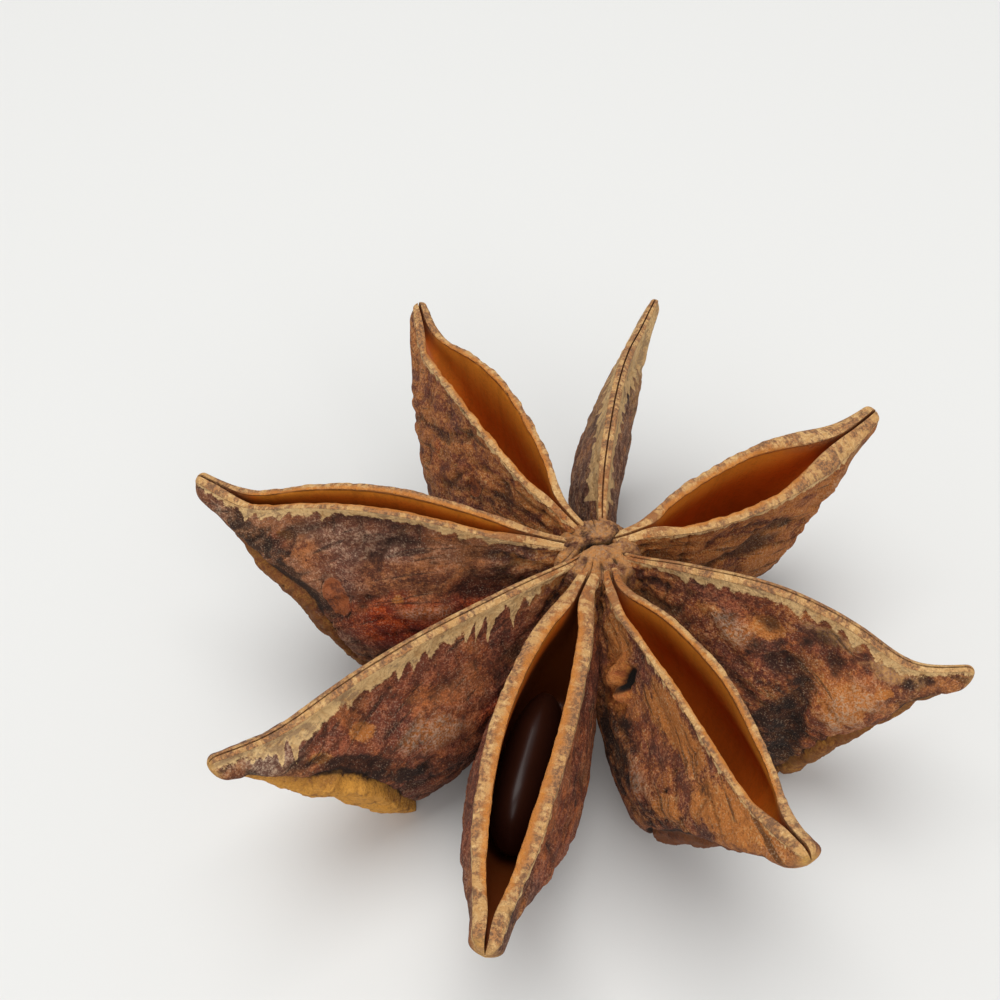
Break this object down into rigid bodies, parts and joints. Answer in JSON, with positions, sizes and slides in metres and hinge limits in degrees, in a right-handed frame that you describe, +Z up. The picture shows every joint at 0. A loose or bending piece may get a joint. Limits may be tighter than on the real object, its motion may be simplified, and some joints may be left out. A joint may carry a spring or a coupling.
{
  "type": "star anise pod",
  "caption": "Dried star anise pod lying flat: boat-shaped follicles around a short hub, some split open along the seam, one still holding its glossy seed.",
  "frame": {"origin": "under the middle of the star's box, on the floor that the keels rest on", "axes": "+Z up with the seams upward; +Y runs away from the viewer along the star's longest extent; +X to the viewer's right"},
  "size_m": [0.0322, 0.0336, 0.0121],
  "materials": {
    "pod": "dry woody husk, rough and dark outside, tan along the lips, smooth amber inside the open follicles",
    "seed": "hard polished dark brown seed coat"
  },
  "bodies": {
    "root": {"pod": "pod", "seed": "seed"}
  },
  "joints": []
}
